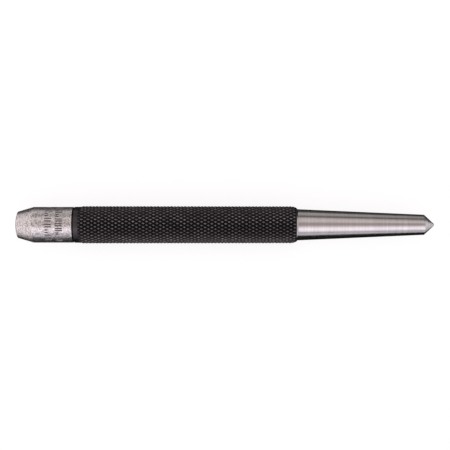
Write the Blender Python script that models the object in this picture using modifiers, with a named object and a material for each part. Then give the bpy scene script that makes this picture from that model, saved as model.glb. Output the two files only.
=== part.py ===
"""Center punch: one bar of tool steel, turned, knurled and ground, modelled as its five finished zones.

Metres, +Z up. The punch lies on its grip along X with its point towards +X. The origin is under the
middle of its length, on the surface that it lies on. Stations are distances from the striking face
towards the point. Each zone is a turned profile of (station, radius) points, spun round the bar's axis
in flats that touch the true circle, with one flat underneath for the punch to rest on.
"""

import math

import bpy

MM = 0.001
FLATS = 32

LENGTH = 127 * MM

HEAD_DIAMETER = 10.84 * MM
FACE_DIAMETER = 8.0 * MM
FACE_FLAT_DIAMETER = 3.0 * MM
CROWN_RADIUS = 12 * MM
CROWN_STEPS = 3
HEAD_BEVEL_ANGLE = math.radians(16.5)
HEAD_END = 17.4 * MM

COLLAR_DIAMETER = 10.92 * MM
COLLAR_END = 19.15 * MM

GRIP_DIAMETER = 11.4 * MM
KNURL_LEAD_STEP = 0.05 * MM
KNURL_LEAD_LENGTH = 1.5 * MM
GRIP_CHAMFER_ANGLE = math.radians(30)
GRIP_END_DIAMETER = 10.4 * MM
GRIP_END = 85.05 * MM

SHANK_FOOT_ANGLE = math.radians(45)
SHANK_DIAMETER = 9.48 * MM
SHANK_TIP_DIAMETER = 6.12 * MM

POINT_HALF_ANGLE = math.radians(43)
POINT_FLAT_DIAMETER = 0.4 * MM
POINT_LENGTH = (SHANK_TIP_DIAMETER - POINT_FLAT_DIAMETER) / 2 / math.tan(POINT_HALF_ANGLE)
SHANK_END = LENGTH - POINT_LENGTH

MERGE_WITHIN = 0.001 * MM  # joins the profile's ends to the axis

SATIN_STEEL = (0.56, 0.52, 0.53)
SATIN_ROUGHNESS = 0.38
BLACK_OXIDE = (0.035, 0.032, 0.034)
OXIDE_ROUGHNESS = 0.45
FINE_GROUND_STEEL = (0.62, 0.58, 0.59)
FINE_GROUND_ROUGHNESS = 0.26


def crown_depth(radius):
    """How far behind the very end of the bar the crowned face lies, at this radius."""
    def sagitta(r):
        return CROWN_RADIUS - math.sqrt(CROWN_RADIUS**2 - r**2)

    return sagitta(radius) - sagitta(FACE_FLAT_DIAMETER / 2)


def head_profile():
    """A crowned striking face, worn flat in the middle, then a bevel out to the plain head."""
    inner, outer, head = FACE_FLAT_DIAMETER / 2, FACE_DIAMETER / 2, HEAD_DIAMETER / 2
    radii = [inner + (outer - inner) * step / CROWN_STEPS for step in range(CROWN_STEPS + 1)]
    profile = [(crown_depth(radius), radius) for radius in radii]
    bevel_end = crown_depth(outer) + (head - outer) / math.tan(HEAD_BEVEL_ANGLE)
    return profile + [(bevel_end, head), (HEAD_END, head)]


def collar_profile():
    """The short plain band between the ground head and the knurling."""
    return [(HEAD_END, COLLAR_DIAMETER / 2), (COLLAR_END, COLLAR_DIAMETER / 2)]


def grip_profile():
    """The crests of the knurling, with a lead-in where the wheels start and a chamfer at the front."""
    grip, collar, end = GRIP_DIAMETER / 2, COLLAR_DIAMETER / 2, GRIP_END_DIAMETER / 2
    chamfer_start = GRIP_END - (grip - end) / math.tan(GRIP_CHAMFER_ANGLE)
    return [
        (COLLAR_END, collar + KNURL_LEAD_STEP),
        (COLLAR_END + KNURL_LEAD_LENGTH, grip),
        (chamfer_start, grip),
        (GRIP_END, end),
    ]


def shank_profile():
    """The long ground taper to the point, from the steep foot that the wheel's edge leaves at the grip."""
    end, shank = GRIP_END_DIAMETER / 2, SHANK_DIAMETER / 2
    foot_end = GRIP_END + (end - shank) / math.tan(SHANK_FOOT_ANGLE)
    return [(GRIP_END, end), (foot_end, shank), (SHANK_END, SHANK_TIP_DIAMETER / 2)]


def point_profile():
    """The ground cone, with the tiny flat that a sharp point wears down to."""
    return [(SHANK_END, SHANK_TIP_DIAMETER / 2), (LENGTH, POINT_FLAT_DIAMETER / 2)]


def metal(name, color, roughness):
    material = bpy.data.materials.new(name)
    material.use_nodes = True
    shader = material.node_tree.nodes["Principled BSDF"]
    shader.inputs["Base Color"].default_value = (*color, 1)
    shader.inputs["Roughness"].default_value = roughness
    shader.inputs["Metallic"].default_value = 1
    return material


def turned_zone(name, profile, material, collection, axis):
    """A solid of revolution: its profile closed to the axis at both ends, then spun by a Screw modifier."""
    spread = 1 / math.cos(math.pi / FLATS)
    outline = [(profile[0][0], 0), *profile, (profile[-1][0], 0)]
    points = [(station, 0, radius * spread) for station, radius in outline]
    edges = [(i, i + 1) for i in range(len(points) - 1)]

    mesh = bpy.data.meshes.new(name)
    mesh.from_pydata(points, edges, [])
    mesh.materials.append(material)
    zone = bpy.data.objects.new(name, mesh)
    collection.objects.link(zone)
    zone.parent = axis

    screw = zone.modifiers.new("turned", "SCREW")
    screw.axis = "X"
    screw.steps = FLATS
    screw.render_steps = FLATS
    screw.use_merge_vertices = True
    screw.merge_threshold = MERGE_WITHIN
    screw.use_normal_flip = True
    screw.use_smooth_shade = False
    return zone


def bar_axis(collection):
    """An empty on the bar's axis at the striking face, turned so that a flat lies underneath."""
    axis = bpy.data.objects.new("bar_axis", None)
    axis.location = (-LENGTH / 2, 0, GRIP_DIAMETER / 2)
    axis.rotation_euler = (math.pi / FLATS, 0, 0)
    collection.objects.link(axis)
    return axis


def build():
    for obj in list(bpy.data.objects):
        bpy.data.objects.remove(obj)
    collection = bpy.data.collections.new("center_punch")
    bpy.context.scene.collection.children.link(collection)

    satin_steel = metal("satin_ground_steel", SATIN_STEEL, SATIN_ROUGHNESS)
    black_oxide = metal("black_oxide", BLACK_OXIDE, OXIDE_ROUGHNESS)
    ground_steel = metal("fine_ground_steel", FINE_GROUND_STEEL, FINE_GROUND_ROUGHNESS)

    axis = bar_axis(collection)
    turned_zone("striking_head", head_profile(), satin_steel, collection, axis)
    turned_zone("plain_collar", collar_profile(), black_oxide, collection, axis)
    turned_zone("knurled_grip", grip_profile(), black_oxide, collection, axis)
    turned_zone("tapered_shank", shank_profile(), ground_steel, collection, axis)
    turned_zone("center_point", point_profile(), ground_steel, collection, axis)


build()
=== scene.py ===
"""Looks of the center punch: fine turned meshes, a real diamond knurl and procedural steel finishes.

Everything is in metres, in the CAD frame: the bar lies along X with its point towards +X, and its axis
is one grip radius above the floor. Stations are distances from the striking face towards the point.
"""

import math

import bpy
import numpy as np
from mathutils import Matrix, Vector


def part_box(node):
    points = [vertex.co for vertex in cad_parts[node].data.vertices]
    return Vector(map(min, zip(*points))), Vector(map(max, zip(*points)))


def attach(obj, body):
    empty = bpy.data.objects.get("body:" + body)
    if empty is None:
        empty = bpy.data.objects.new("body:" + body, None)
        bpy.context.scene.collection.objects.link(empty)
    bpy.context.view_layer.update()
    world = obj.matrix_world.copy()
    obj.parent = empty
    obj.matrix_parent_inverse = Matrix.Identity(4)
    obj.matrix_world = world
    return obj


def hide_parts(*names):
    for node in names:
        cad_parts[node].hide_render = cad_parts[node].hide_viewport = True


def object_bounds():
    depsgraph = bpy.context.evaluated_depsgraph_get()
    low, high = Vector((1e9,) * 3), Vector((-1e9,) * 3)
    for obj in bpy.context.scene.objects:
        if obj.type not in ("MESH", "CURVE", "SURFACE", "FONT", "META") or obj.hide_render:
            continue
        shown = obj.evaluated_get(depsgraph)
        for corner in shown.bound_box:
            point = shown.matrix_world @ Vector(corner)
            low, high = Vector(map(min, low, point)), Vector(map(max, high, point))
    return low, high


MM = 0.001


# ---------------------------------------------------------------- the frame

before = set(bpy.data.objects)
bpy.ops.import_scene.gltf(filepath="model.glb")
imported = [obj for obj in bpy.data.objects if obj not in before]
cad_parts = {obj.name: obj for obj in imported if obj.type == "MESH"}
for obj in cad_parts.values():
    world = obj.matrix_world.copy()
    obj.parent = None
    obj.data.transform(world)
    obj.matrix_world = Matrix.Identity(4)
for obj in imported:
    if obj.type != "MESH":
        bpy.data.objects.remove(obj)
cad_low, cad_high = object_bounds()


def zone_span(node):
    """(first station, last station, largest radius) of a CAD zone."""
    low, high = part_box(node)
    return low.x - cad_low.x, high.x - cad_low.x, (high.y - low.y) / 2


FACE_X = cad_low.x
LENGTH = cad_high.x - cad_low.x
_, HEAD_END, HEAD_RADIUS = zone_span("striking_head")
_, COLLAR_END, COLLAR_RADIUS = zone_span("plain_collar")
_, GRIP_END, GRIP_RADIUS = zone_span("knurled_grip")
_, SHANK_END, FOOT_RADIUS = zone_span("tapered_shank")
_, _, TIP_RADIUS = zone_span("center_point")
AXIS_Z = GRIP_RADIUS
SHANK_RADIUS = 4.74 * MM


# ---------------------------------------------------------------- profiles and meshes

FILLET_STEPS = 6
ROUND_SEGMENTS = 256


def fillet(before, corner, after, radius):
    """Points along an arc that rounds one corner of an outline."""
    a = np.subtract(before, corner)
    b = np.subtract(after, corner)
    a, b = a / np.linalg.norm(a), b / np.linalg.norm(b)
    half = math.acos(np.clip(a @ b, -1, 1)) / 2
    reach = radius / math.tan(half)
    start, end = corner + a * reach, corner + b * reach
    centre = corner + (a + b) / np.linalg.norm(a + b) * radius / math.sin(half)
    p, q = start - centre, end - centre
    sweep = math.pi - 2 * half
    arc = []
    for step in range(FILLET_STEPS + 1):
        t = step / FILLET_STEPS
        arc.append(centre + (math.sin((1 - t) * sweep) * p + math.sin(t * sweep) * q) / math.sin(sweep))
    return arc


def outline(*corners):
    """An outline from (station, radius) or (station, radius, fillet radius) corners."""
    points = [np.array(corner[:2], float) for corner in corners]
    made = [points[0]]
    for i in range(1, len(corners) - 1):
        if len(corners[i]) == 3:
            made += fillet(points[i - 1], points[i], points[i + 1], corners[i][2])
        else:
            made.append(points[i])
    made.append(points[-1])
    return np.array(made)


def refined(profile, start, end, step):
    """The outline with more rings between two stations, none further apart than step."""
    made = [profile[0]]
    for a, b in zip(profile[:-1], profile[1:]):
        inside = b[0] > start and a[0] < end
        pieces = max(1, math.ceil(abs(b[0] - a[0]) / step)) if inside else 1
        made += [a + (b - a) * i / pieces for i in range(1, pieces + 1)]
    return np.array(made)


def rings_to_mesh(name, stations, radii, turns, faces=None):
    """A closed mesh from rings of points round the bar, with a point on the axis at each end.

    stations and turns are (rings, segments) arrays or broadcast to one; radii is (rings, segments).
    """
    rings, segments = radii.shape
    x = np.broadcast_to(stations, radii.shape) + FACE_X
    y = radii * np.cos(turns)
    z = radii * np.sin(turns) + AXIS_Z
    points = np.stack([x, y, z], axis=-1).reshape(-1, 3)
    ends = [[x[0, 0], 0, AXIS_Z], [x[-1, 0], 0, AXIS_Z]]
    points = np.concatenate([points, ends])
    first, last = rings * segments, rings * segments + 1

    if faces is None:
        i, j = np.meshgrid(np.arange(rings - 1), np.arange(segments), indexing="ij")
        k = (j + 1) % segments
        faces = np.stack(
            [i * segments + j, i * segments + k, (i + 1) * segments + k, (i + 1) * segments + j], axis=-1
        ).reshape(-1, 4)
    here = np.arange(segments)
    following = (here + 1) % segments
    tail = (rings - 1) * segments
    caps = [(first, int(b), int(a)) for a, b in zip(here, following)]
    caps += [(last, int(tail + a), int(tail + b)) for a, b in zip(here, following)]

    mesh = bpy.data.meshes.new(name)
    mesh.from_pydata(points.tolist(), [], faces.tolist() + caps)
    mesh.validate()
    return mesh


def add_shares(mesh, name, shares):
    """Stores one share from 0 to 1 for each ring point, which the finish reads by this name."""
    layer = mesh.attributes.new(name, "FLOAT", "POINT")
    layer.data.foreach_set("value", np.append(shares.reshape(-1), [0, 0]).astype(np.float32))


def turned(name, profile):
    """A solid of revolution from its (station, radius) outline, which leaves out the points on the axis."""
    turns = np.arange(ROUND_SEGMENTS) * 2 * math.pi / ROUND_SEGMENTS
    radii = np.repeat(profile[:, 1:2], ROUND_SEGMENTS, axis=1)
    return rings_to_mesh(name, profile[:, 0:1], radii, turns[None, :])


def add_piece(mesh, node, material, crease=math.radians(28)):
    """The mesh as a shown piece that rides on the bar and stands for its CAD zone."""
    mesh.shade_smooth()
    mesh.set_sharp_from_angle(angle=crease)
    mesh.materials.append(material)
    piece = bpy.data.objects.new(mesh.name, mesh)
    bpy.context.scene.collection.objects.link(piece)
    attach(piece, "root")
    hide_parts(node)
    return piece


# ---------------------------------------------------------------- shader helpers

class Graph:
    """A material's node tree, with short calls for the nodes that these finishes use."""

    def __init__(self, name):
        self.material = bpy.data.materials.new(name)
        self.material.use_nodes = True
        self.tree = self.material.node_tree
        self.shader = self.tree.nodes["Principled BSDF"]
        self.place = self.node("ShaderNodeTexCoord").outputs["Object"]

    def node(self, kind, **inputs):
        made = self.tree.nodes.new(kind)
        for key, value in inputs.items():
            self.set(made.inputs[key], value)
        return made

    def set(self, socket, value):
        if isinstance(value, bpy.types.NodeSocket):
            self.tree.links.new(value, socket)
        else:
            socket.default_value = value

    def math(self, operation, a, b=0.0):
        made = self.tree.nodes.new("ShaderNodeMath")
        made.operation = operation
        self.set(made.inputs[0], a)
        self.set(made.inputs[1], b)
        return made.outputs[0]

    def stretched(self, scale):
        """The place on the object, in units of 1 / scale along X, Y and Z."""
        made = self.node("ShaderNodeMapping", Vector=self.place)
        made.inputs["Scale"].default_value = scale
        return made.outputs["Vector"]

    def noise(self, vector, scale=1.0, detail=2.0, roughness=0.5):
        settings = {"Scale": scale, "Detail": detail, "Roughness": roughness}
        return self.node("ShaderNodeTexNoise", Vector=vector, **settings).outputs["Fac"]

    def remap(self, value, low, high, to_low=0.0, to_high=1.0):
        made = self.node("ShaderNodeMapRange", Value=value)
        made.interpolation_type = "SMOOTHSTEP"
        for key, number in (("From Min", low), ("From Max", high), ("To Min", to_low), ("To Max", to_high)):
            self.set(made.inputs[key], number)
        return made.outputs["Result"]

    def mix(self, factor, a, b):
        made = self.tree.nodes.new("ShaderNodeMix")
        made.data_type = "RGBA"
        self.set(made.inputs["Factor"], factor)
        self.set(made.inputs["A"], (*a, 1) if isinstance(a, tuple) else a)
        self.set(made.inputs["B"], (*b, 1) if isinstance(b, tuple) else b)
        return made.outputs["Result"]

    def bump(self, height, distance, strength):
        made = self.node("ShaderNodeBump", Height=height, Distance=distance, Strength=strength)
        return made.outputs["Normal"]

    def attribute(self, name):
        made = self.tree.nodes.new("ShaderNodeAttribute")
        made.attribute_name = name
        return made.outputs["Fac"]

    def radius(self):
        """Distance from the bar's axis."""
        split = self.node("ShaderNodeSeparateXYZ", Vector=self.place)
        back = split.outputs["Y"]
        up = self.math("SUBTRACT", split.outputs["Z"], AXIS_Z)
        squares = self.math("ADD", self.math("MULTIPLY", back, back), self.math("MULTIPLY", up, up))
        return self.math("SQRT", squares)

    def round_the_bar(self):
        """The direction of turning and cylindrical grinding, for brushed highlights."""
        made = self.tree.nodes.new("ShaderNodeTangent")
        made.direction_type = "RADIAL"
        made.axis = "X"
        return made.outputs["Tangent"]


# ---------------------------------------------------------------- finishes

GRAIN_HEIGHT = 0.02 * MM
FINE_GRAIN_HEIGHT = 0.01 * MM
# Depths over which the collar's painted groove shade fades out.
GROOVE_FADE = (0.08 * MM, 0.01 * MM)  # below the band's surface
APEX_FADE = (1.4 * MM, 0.3 * MM)  # back from the very tip


def satin_head_steel():
    """Bare steel with a matt, speckled grain over faint turning rings; the stamped marks are coloured dark.
    """
    g = Graph("satin_head_steel")
    grain = g.noise(g.place, scale=2300, detail=2, roughness=0.6)
    mottle = g.noise(g.place, scale=500, detail=2)
    rings = g.noise(g.stretched((9000, 120, 120)), detail=1)
    tone = g.math("ADD", g.math("MULTIPLY", grain, 0.9), g.math("MULTIPLY", mottle, 0.1))
    steel = g.mix(g.remap(tone, 0.36, 0.64), (0.43, 0.415, 0.415), (0.90, 0.885, 0.885))
    marks = g.attribute("stamped")
    g.set(g.shader.inputs["Base Color"], g.mix(marks, steel, (0.10, 0.09, 0.092)))
    g.set(g.shader.inputs["Roughness"], g.remap(tone, 0.3, 0.7, 0.28, 0.38))
    height = g.math("ADD", grain, g.math("MULTIPLY", rings, 0.35))
    g.set(g.shader.inputs["Normal"], g.bump(height, GRAIN_HEIGHT, 0.6))
    g.shader.inputs["Metallic"].default_value = 1
    return g.material


def black_oxide_band():
    """Smooth turned steel under black oxide, with painted shade making it nearly black in the groove that
    parts it off.
    """
    g = Graph("black_oxide_band")
    rings = g.noise(g.stretched((7000, 90, 90)), detail=2)
    cloud = g.noise(g.place, scale=1400, detail=3)
    surface = g.remap(g.radius(), COLLAR_RADIUS - GROOVE_FADE[0], COLLAR_RADIUS - GROOVE_FADE[1])
    oxide = g.mix(cloud, (0.045, 0.043, 0.047), (0.105, 0.1, 0.107))
    # Nearly black in the parting groove: painted shade.
    g.set(g.shader.inputs["Base Color"], g.mix(surface, (0.004, 0.004, 0.004), oxide))
    g.set(g.shader.inputs["Roughness"], g.remap(cloud, 0.3, 0.7, 0.34, 0.46))
    g.set(g.shader.inputs["Normal"], g.bump(rings, FINE_GRAIN_HEIGHT, 0.7))
    g.shader.inputs["Metallic"].default_value = 1
    return g.material


def black_oxide_knurl():
    """Black oxide on the diamonds: darker in the grooves as painted shade, lighter on the crests as wear
    from handling and a painted highlight.
    """
    g = Graph("black_oxide_knurl")
    cloud = g.noise(g.place, scale=1700, detail=3)
    patches = g.noise(g.place, scale=260, detail=2)
    crest = g.remap(g.attribute("crest"), 0.25, 0.95)
    uneven = g.math("MULTIPLY", g.remap(cloud, 0.3, 0.7, 0.35, 1.0), g.remap(patches, 0.3, 0.7, 0.7, 1.0))
    wear_and_highlight = g.math("MULTIPLY", crest, uneven)
    # Painted shade in the grooves, and on the crests a lighter colour that is partly wear and partly a
    # painted highlight.
    g.set(g.shader.inputs["Base Color"], g.mix(wear_and_highlight, (0.021, 0.019, 0.0205), (0.29, 0.271, 0.283)))
    g.set(g.shader.inputs["Roughness"], g.remap(wear_and_highlight, 0, 1, 0.5, 0.34))
    g.set(g.shader.inputs["Normal"], g.bump(cloud, GRAIN_HEIGHT, 0.5))
    g.shader.inputs["Metallic"].default_value = 1
    return g.material


def ground_shank_steel():
    """Cylindrical-ground steel: rings round the bar smear highlights along it and keep them crisp across."""
    g = Graph("ground_shank_steel")
    rings = g.noise(g.stretched((5200, 60, 60)), detail=4, roughness=0.65)
    broad = g.noise(g.stretched((900, 40, 40)), detail=2)
    cloud = g.noise(g.place, scale=500, detail=3)
    tone = g.math("ADD", g.math("MULTIPLY", rings, 0.6), g.math("MULTIPLY", broad, 0.4))
    steel = g.mix(g.remap(tone, 0.3, 0.7), (0.57, 0.56, 0.56), (0.70, 0.69, 0.69))
    g.set(g.shader.inputs["Base Color"], steel)
    g.set(g.shader.inputs["Roughness"], g.remap(cloud, 0.3, 0.7, 0.17, 0.24))
    g.set(g.shader.inputs["Normal"], g.bump(rings, FINE_GRAIN_HEIGHT, 0.5))
    g.set(g.shader.inputs["Tangent"], g.round_the_bar())
    g.shader.inputs["Anisotropic"].default_value = 0.7
    g.shader.inputs["Anisotropic Rotation"].default_value = 0.25
    g.shader.inputs["Metallic"].default_value = 1
    return g.material


def ground_point_steel():
    """The cone, ground on a wheel and a little matter than the shank, with an evener tone at its apex."""
    g = Graph("ground_point_steel")
    grit = g.noise(g.stretched((3800, 900, 900)), detail=3)
    along = g.node("ShaderNodeSeparateXYZ", Vector=g.place).outputs["X"]
    apex = g.remap(along, cad_high.x - APEX_FADE[0], cad_high.x - APEX_FADE[1])
    steel = g.mix(g.remap(grit, 0.3, 0.7), (0.50, 0.49, 0.495), (0.78, 0.77, 0.775))
    g.set(g.shader.inputs["Base Color"], g.mix(apex, steel, (0.62, 0.60, 0.61)))
    g.set(g.shader.inputs["Roughness"], g.remap(grit, 0.3, 0.7, 0.22, 0.32))
    g.set(g.shader.inputs["Normal"], g.bump(grit, FINE_GRAIN_HEIGHT, 0.6))
    g.shader.inputs["Metallic"].default_value = 1
    return g.material


# ---------------------------------------------------------------- the bar's zones

FACE_RADIUS = 4.0 * MM
FACE_FLAT_RADIUS = 1.5 * MM
CROWN_RADIUS = 12 * MM
CROWN_RINGS = 24
RIM_FILLET = 0.28 * MM
BEVEL_ANGLE = math.radians(16.5)
BEVEL_FILLET = 2.0 * MM
HEAD_EDGE_LENGTH = 0.03 * MM
HEAD_EDGE_FILLET = 0.02 * MM
PARTING_WIDTH = 0.42 * MM
PARTING_DEPTH = 0.22 * MM
HEAD_SEGMENTS = 448
MARK_DEPTH = 0.07 * MM
MARK_STROKE = 0.34 * MM
MARK_EDGE = 0.08 * MM
MARK_GRID = 0.11 * MM
MARK_ROWS = (
    {"first": 9.3 * MM, "last": 11.4 * MM, "count": 19, "gap": 0.8 * MM, "short_every": 3},
    {"first": 12.5 * MM, "last": 14.6 * MM, "count": 23, "gap": 0.65 * MM, "short_every": 4},
)


def head_profile():
    """Worn crown, rounded rim, bevel and plain head."""

    def depth(radius):
        def sagitta(r):
            return CROWN_RADIUS - math.sqrt(CROWN_RADIUS**2 - r**2)

        return max(0.0, sagitta(radius) - sagitta(FACE_FLAT_RADIUS))

    crown = [(depth(r), r) for r in np.linspace(0.1 * MM, FACE_RADIUS - 0.35 * MM, CROWN_RINGS)]
    rim = (depth(FACE_RADIUS), FACE_RADIUS, RIM_FILLET)
    bevel_end = rim[0] + (HEAD_RADIUS - FACE_RADIUS) / math.tan(BEVEL_ANGLE)
    return outline(
        *crown,
        rim,
        (bevel_end, HEAD_RADIUS, BEVEL_FILLET),
        (HEAD_END - HEAD_EDGE_LENGTH, HEAD_RADIUS, HEAD_EDGE_FILLET),
        (HEAD_END, HEAD_RADIUS - PARTING_DEPTH / 2),
    )


def dashes(stations, turns, first, last, count, gap, short_every):
    """1 on a row of pairs of plain dashes round the head, fading at their edges to 0 elsewhere.

    Each dash runs along the bar from first to last. One pair in every few is half as long.
    """
    pitch = 2 * math.pi / count
    number = np.floor(turns / pitch)
    offset = (turns / pitch - number - 0.5) * pitch * HEAD_RADIUS
    reach = np.where(number % short_every == 0, (first + last) / 2, last)
    across = np.abs(np.abs(offset) - gap / 2) - MARK_STROKE / 2
    along = np.maximum(first - stations, stations - reach)
    return np.clip(-np.maximum(across, along) / MARK_EDGE + 0.5, 0, 1)


def make_head():
    """The head carries two rows of plain dashes where a real one is stamped."""
    profile = refined(head_profile(), 1 * MM, HEAD_END - 0.5 * MM, MARK_GRID)
    turns = np.arange(HEAD_SEGMENTS)[None, :] * 2 * math.pi / HEAD_SEGMENTS
    stations = profile[:, 0:1]
    marks = np.maximum.reduce([dashes(stations, turns, **row) for row in MARK_ROWS])
    radii = profile[:, 1:2] - MARK_DEPTH * marks
    mesh = rings_to_mesh("punch_head", stations, radii, turns)
    add_shares(mesh, "stamped", marks)
    add_piece(mesh, "striking_head", satin_head_steel())


GROOVE_FLOOR_SHARE = 0.7
COLLAR_EDGE_DROP = 0.01 * MM


def make_collar():
    """The blackened band, from the fine turned groove that parts it from the head."""
    profile = outline(
        (HEAD_END, HEAD_RADIUS - PARTING_DEPTH),
        (HEAD_END + PARTING_WIDTH * GROOVE_FLOOR_SHARE, COLLAR_RADIUS - PARTING_DEPTH),
        (HEAD_END + PARTING_WIDTH, COLLAR_RADIUS - COLLAR_EDGE_DROP, 0.04 * MM),
        (COLLAR_END, COLLAR_RADIUS),
    )
    mesh = turned("collar_band", refined(profile, HEAD_END, COLLAR_END, 0.1 * MM))
    add_piece(mesh, "plain_collar", black_oxide_band())


KNURL_STARTS = 30
KNURL_PITCH = 2.06 * MM
KNURL_CELLS = 8
KNURL_DEPTH = 0.40 * MM
KNURL_SECTION = np.array([1.0, 0.70, 0.40, 0.15, 0.0])  # depth at 0 to 4 grid steps from a groove's middle
KNURL_TWIST = math.radians(4)
KNURL_LEAD_START = 0.1 * MM
KNURL_LEAD = 1.65 * MM
KNURL_LEAD_STEP = 0.01 * MM
KNURL_LEAD_BITE = 1.6
KNURL_RUN_OUT = 0.7 * MM
# Crest share on the uncut lead and run-out, which sets their wear and painted highlight.
UNCUT_WEAR_AND_HIGHLIGHT = 0.45
GRIP_FRONT_RADIUS = GRIP_RADIUS - 0.06 * MM
SHOULDER_LENGTH = 0.2 * MM
SHOULDER_SLOPE = 0.65
SHOULDER_START_SLOPE = 0.3


def knurl_cuts(i, j):
    """Share of the knurl's depth cut away at grid point (i, j), by the deeper of two crossing grooves."""

    def cut(steps):
        from_groove = np.abs((steps + KNURL_CELLS // 2) % KNURL_CELLS - KNURL_CELLS // 2)
        return KNURL_SECTION[from_groove]

    return np.maximum(cut(i + j), cut(i - j))


def make_grip():
    """The diamond knurl as real grooves: the grid's diagonals run along both sets of helical grooves."""
    step = KNURL_PITCH / KNURL_CELLS
    rings = math.floor((GRIP_END - COLLAR_END) / step) + 1
    segments = KNURL_STARTS * KNURL_CELLS
    i = np.arange(rings)[:, None]
    j = np.arange(segments)[None, :]
    stations = GRIP_END - (rings - 1 - i) * step
    stations[0] = COLLAR_END

    along = (stations - COLLAR_END) / (GRIP_END - COLLAR_END)
    crest = GRIP_RADIUS + (GRIP_FRONT_RADIUS - GRIP_RADIUS) * along
    lead = 1 - (1 - np.clip((stations - COLLAR_END - KNURL_LEAD_START) / KNURL_LEAD, 0, 1)) ** 2
    lead_radius = COLLAR_RADIUS + KNURL_LEAD_STEP
    crest = lead_radius + lead * (crest - lead_radius)
    to_go = GRIP_END - stations
    shoulder_radius = FOOT_RADIUS + SHOULDER_LENGTH * SHOULDER_SLOPE
    crest = np.minimum(crest, FOOT_RADIUS + to_go * SHOULDER_SLOPE)
    crest = np.minimum(crest, shoulder_radius + (to_go - SHOULDER_LENGTH) * SHOULDER_START_SLOPE)
    run_out = np.clip(to_go / KNURL_RUN_OUT, 0, 1)
    cuts = knurl_cuts(i, j)
    bite = np.minimum(1, lead * KNURL_LEAD_BITE) * run_out
    radii = crest - KNURL_DEPTH * bite * cuts
    turns = j * 2 * math.pi / segments + KNURL_TWIST * along

    a, b = np.meshgrid(np.arange(rings - 1), np.arange(segments), indexing="ij")
    c = (b + 1) % segments
    p00, p01 = a * segments + b, a * segments + c
    p10, p11 = (a + 1) * segments + b, (a + 1) * segments + c
    falls = ((a + b + 1) % 2 == 0)[..., None, None]
    one = np.stack([np.stack([p00, p01, p10], -1), np.stack([p01, p11, p10], -1)], -2)
    other = np.stack([np.stack([p00, p01, p11], -1), np.stack([p00, p11, p10], -1)], -2)
    faces = np.where(falls, one, other).reshape(-1, 3)
    mesh = rings_to_mesh("knurled_grip_body", stations, radii, turns, faces)
    # The crest share sets the knurl's colour: wear and a painted highlight on the crests, painted shade in
    # the grooves.
    add_shares(mesh, "crest", (1 - cuts) * bite + UNCUT_WEAR_AND_HIGHLIGHT * (1 - bite))
    add_piece(mesh, "knurled_grip", black_oxide_knurl(), crease=math.radians(24))


RELIEF_DEPTH = 0.04 * MM
RELIEF_LENGTH = 0.15 * MM
SHANK_CORNER_LENGTH = 0.06 * MM
JOINING_RADIUS = TIP_RADIUS - 0.03 * MM  # where the shank and the cone meet, under a crisp corner


def make_shank():
    """The ground taper, after its steep foot at the grip and a fine relief line in the corner."""
    start = GRIP_END + FOOT_RADIUS - SHANK_RADIUS
    profile = outline(
        (GRIP_END, FOOT_RADIUS),
        (start, SHANK_RADIUS - RELIEF_DEPTH, 0.08 * MM),
        (start + RELIEF_LENGTH, SHANK_RADIUS - 0.007 * MM, 0.05 * MM),
        (SHANK_END - SHANK_CORNER_LENGTH, TIP_RADIUS + 0.002 * MM),
        (SHANK_END, JOINING_RADIUS),
    )
    mesh = turned("shank_taper", refined(profile, start, SHANK_END, 0.5 * MM))
    add_piece(mesh, "tapered_shank", ground_shank_steel())


POINT_FLAT_RADIUS = 0.2 * MM
POINT_EDGE_LENGTH = 0.06 * MM
POINT_EDGE_WIDTH = 0.05 * MM
POINT_FILLET = 0.15 * MM


def make_point():
    """The ground cone, rounded over into its tiny worn flat."""
    profile = outline(
        (SHANK_END, JOINING_RADIUS),
        (LENGTH - POINT_EDGE_LENGTH, POINT_FLAT_RADIUS + POINT_EDGE_WIDTH, POINT_FILLET),
        (LENGTH, 0.02 * MM),
    )
    mesh = turned("cone_point", refined(profile, SHANK_END, LENGTH, 0.1 * MM))
    add_piece(mesh, "center_point", ground_point_steel())


# ---------------------------------------------------------------- studio

CAMERA_ELEVATION = math.radians(78)
CAMERA_DISTANCE = 0.35
VIEW_WIDTH = 136.8 * MM
VIEW_CENTRE = Vector((-0.05 * MM, -0.07 * MM, AXIS_Z))


def make_camera():
    """A moderate lens from above, square to the bar."""
    back = Vector((0, -math.cos(CAMERA_ELEVATION), math.sin(CAMERA_ELEVATION)))
    up = Vector((0, math.sin(CAMERA_ELEVATION), math.cos(CAMERA_ELEVATION)))
    right = up.cross(back)
    data = bpy.data.cameras.new("camera")
    data.sensor_width = 36
    data.lens = data.sensor_width * CAMERA_DISTANCE / VIEW_WIDTH
    data.clip_start, data.clip_end = 0.1, 50
    camera = bpy.data.objects.new("camera", data)
    place = VIEW_CENTRE + back * CAMERA_DISTANCE
    camera.matrix_world = Matrix.Translation(place) @ Matrix((right, up, back)).transposed().to_4x4()
    bpy.context.scene.collection.objects.link(camera)
    bpy.context.scene.camera = camera


FLOOR_HALF_WIDTH = 8
FLOOR_COLOR = (0.25, 0.25, 0.25, 1)
FLOOR_GLOW = 0.84


def make_floor():
    """A pale floor with a glow of its own, which takes the bar's soft shade but doesn't light the bar."""
    mesh = bpy.data.meshes.new("floor")
    far = FLOOR_HALF_WIDTH
    corners = [(-far, -far, 0), (far, -far, 0), (far, far, 0), (-far, far, 0)]
    mesh.from_pydata(corners, [], [(0, 1, 2, 3)])
    material = bpy.data.materials.new("pale_floor")
    material.use_nodes = True
    shader = material.node_tree.nodes["Principled BSDF"]
    shader.inputs["Base Color"].default_value = FLOOR_COLOR
    shader.inputs["Roughness"].default_value = 0.9
    shader.inputs["Emission Color"].default_value = (1, 1, 1, 1)
    shader.inputs["Emission Strength"].default_value = FLOOR_GLOW
    mesh.materials.append(material)
    floor = bpy.data.objects.new("floor", mesh)
    bpy.context.scene.collection.objects.link(floor)
    floor.visible_glossy = False
    floor.visible_diffuse = False
    floor.visible_shadow = False


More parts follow.
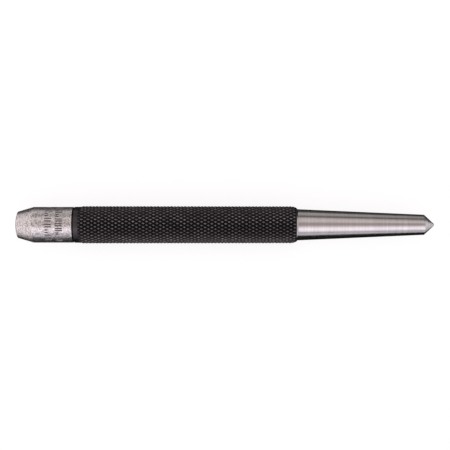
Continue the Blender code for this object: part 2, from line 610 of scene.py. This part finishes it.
STUDIO_STRENGTH = 1.6
DARK = (0.012, 0.012, 0.012)
TENT = (
    (-100, DARK),
    (-95.5, (0.72, 0.68, 0.72)),
    (-82, (0.74, 0.70, 0.74)),
    (-77, (0.42, 0.39, 0.41)),
    (-72, (0.42, 0.39, 0.41)),
    (-64, (1.0, 0.93, 0.98)),
    (-48, (1.5, 1.37, 1.47)),
    (-38, (1.40, 1.27, 1.36)),
    (-26, (0.86, 0.76, 0.77)),
    (-16, (0.48, 0.41, 0.40)),
    (0, (0.45, 0.38, 0.37)),
    (10, (0.74, 0.65, 0.63)),
    (22, (0.84, 0.74, 0.71)),
    (38, (0.78, 0.69, 0.67)),
    (47, (0.34, 0.31, 0.30)),
    (51, (0.18, 0.16, 0.16)),
    (58, (0.18, 0.16, 0.16)),
    (68, (0.46, 0.43, 0.43)),
    (90, (0.50, 0.47, 0.47)),
    (97, (0.10, 0.08, 0.08)),
    (122, (0.07, 0.055, 0.055)),
    (135, DARK),
)
POINT_WALL = (0.76, 0.72, 0.75)
HEAD_WALL = (1.02, 0.91, 0.92)
WALL_FOOT = (0.032, 0.032, 0.032)
SHADED_PANEL = (0.048, 0.048, 0.048)
HEAD_BACK_PANEL = (1.15, 1.09, 1.09)

# Each pair is where a change in the tent starts and ends, as a direction's part along the bar, back or up.
LEAN_ANGLE = 0.27  # radians
LEAN_ALONG = (0.15, 0.3)
LEAN_BACK = (-1, -0.2)
SHADE_SHARE = 0.65
SHADE_ALONG = (0.17, 0.3)
SHADE_BACK = (0.2, 0.6)
HEAD_PANEL_SHARE = 0.6
HEAD_PANEL_ALONG = (-0.145, -0.125)
HEAD_PANEL_BACK = (0.75, 0.95)
HEAD_PANEL_UP = (-0.03, 0.14)
WALL_CHANGE_ALONG = (-0.2, 0.2)
WALL_FOOT_UP = (-0.7, -0.5)
HEAD_WALL_ALONG = (-0.7, -0.4)
POINT_WALL_ALONG = (0.5, 0.85)
WALL_UP = (-0.1, 0.05)
LOW_WALL_BACK = (0.28, 0.44)


def make_world():
    """A light tent in long panels over the bar, given as (degrees back from straight up, brightness).

    The panels run along the bar. Towards its point the back ones darken and the front ones lean in, and
    towards its head the lowest back ones brighten. Past its ends stand pale walls, which reach below the
    floor's level in front and darken downwards.
    """
    world = bpy.data.worlds.new("studio")
    world.use_nodes = True
    tree = world.node_tree
    tree.nodes.clear()
    new, link = tree.nodes.new, tree.links.new

    def remap(value, low, high, to_low, to_high, smooth=True):
        made = new("ShaderNodeMapRange")
        made.interpolation_type = "SMOOTHSTEP" if smooth else "LINEAR"
        for key, number in (("From Min", low), ("From Max", high), ("To Min", to_low), ("To Max", to_high)):
            made.inputs[key].default_value = number
        link(value, made.inputs["Value"])
        return made.outputs["Result"]

    def math_node(operation, a, b):
        made = new("ShaderNodeMath")
        made.operation = operation
        link(a, made.inputs[0])
        link(b, made.inputs[1])
        return made.outputs[0]

    def dimmed(color):
        """The brightness as a color from 0 to 1, which the studio's strength brings back up."""
        return (*(channel / STUDIO_STRENGTH for channel in color), 1)

    def mix(factor, a, b):
        """Mixes two brightnesses, each a tuple or what another node gives."""
        made = new("ShaderNodeMix")
        made.data_type = "RGBA"
        link(factor, made.inputs["Factor"])
        for value, key in ((a, "A"), (b, "B")):
            if isinstance(value, tuple):
                made.inputs[key].default_value = dimmed(value)
            else:
                link(value, made.inputs[key])
        return made.outputs["Result"]

    split = new("ShaderNodeSeparateXYZ")
    link(new("ShaderNodeTexCoord").outputs["Generated"], split.inputs[0])
    along, back, up = split.outputs

    panels = new("ShaderNodeValToRGB")
    elements = panels.color_ramp.elements
    elements.remove(elements[-1])
    for number, (degrees, color) in enumerate(TENT):
        position = (degrees + 180) / 360
        element = elements[0] if number == 0 else elements.new(position)
        element.position = position
        element.color = dimmed(color)
    lean = math_node("MULTIPLY", remap(along, *LEAN_ALONG, 0, LEAN_ANGLE), remap(back, *LEAN_BACK, 1, 0))
    angle = math_node("ADD", math_node("ARCTAN2", back, up), lean)
    link(remap(angle, -math.pi, math.pi, 0, 1, smooth=False), panels.inputs["Fac"])
    shade = math_node("MULTIPLY", remap(along, *SHADE_ALONG, 0, SHADE_SHARE), remap(back, *SHADE_BACK, 0, 1))
    shaded = mix(shade, panels.outputs["Color"], SHADED_PANEL)
    low_back = math_node("MULTIPLY", remap(up, *HEAD_PANEL_UP, 0, 1), remap(back, *HEAD_PANEL_BACK, 0, 1))
    near_head = math_node("MULTIPLY", remap(along, *HEAD_PANEL_ALONG, HEAD_PANEL_SHARE, 0), low_back)
    tent = mix(near_head, shaded, HEAD_BACK_PANEL)

    lit_wall = mix(remap(along, *WALL_CHANGE_ALONG, 0, 1), HEAD_WALL, POINT_WALL)
    wall = mix(remap(up, *WALL_FOOT_UP, 0, 1), WALL_FOOT, lit_wall)
    past_ends = math_node("ADD", remap(along, *HEAD_WALL_ALONG, 1, 0), remap(along, *POINT_WALL_ALONG, 0, 1))
    reach = math_node("MAXIMUM", remap(up, *WALL_UP, 0, 1), remap(back, *LOW_WALL_BACK, 1, 0))
    light = mix(math_node("MULTIPLY", past_ends, reach), tent, wall)

    studio = new("ShaderNodeBackground")
    studio.inputs["Strength"].default_value = STUDIO_STRENGTH
    link(light, studio.inputs["Color"])
    backdrop = new("ShaderNodeBackground")
    backdrop.inputs["Color"].default_value = (1, 1, 1, 1)
    choose = new("ShaderNodeMixShader")
    link(new("ShaderNodeLightPath").outputs["Is Camera Ray"], choose.inputs["Fac"])
    link(studio.outputs[0], choose.inputs[1])
    link(backdrop.outputs[0], choose.inputs[2])
    link(choose.outputs[0], new("ShaderNodeOutputWorld").inputs["Surface"])
    bpy.context.scene.world = world


# ---------------------------------------------------------------- the scene

make_camera()
make_head()
make_collar()
make_grip()
make_shank()
make_point()
make_floor()
make_world()
bpy.context.scene.view_settings.view_transform = "Standard"
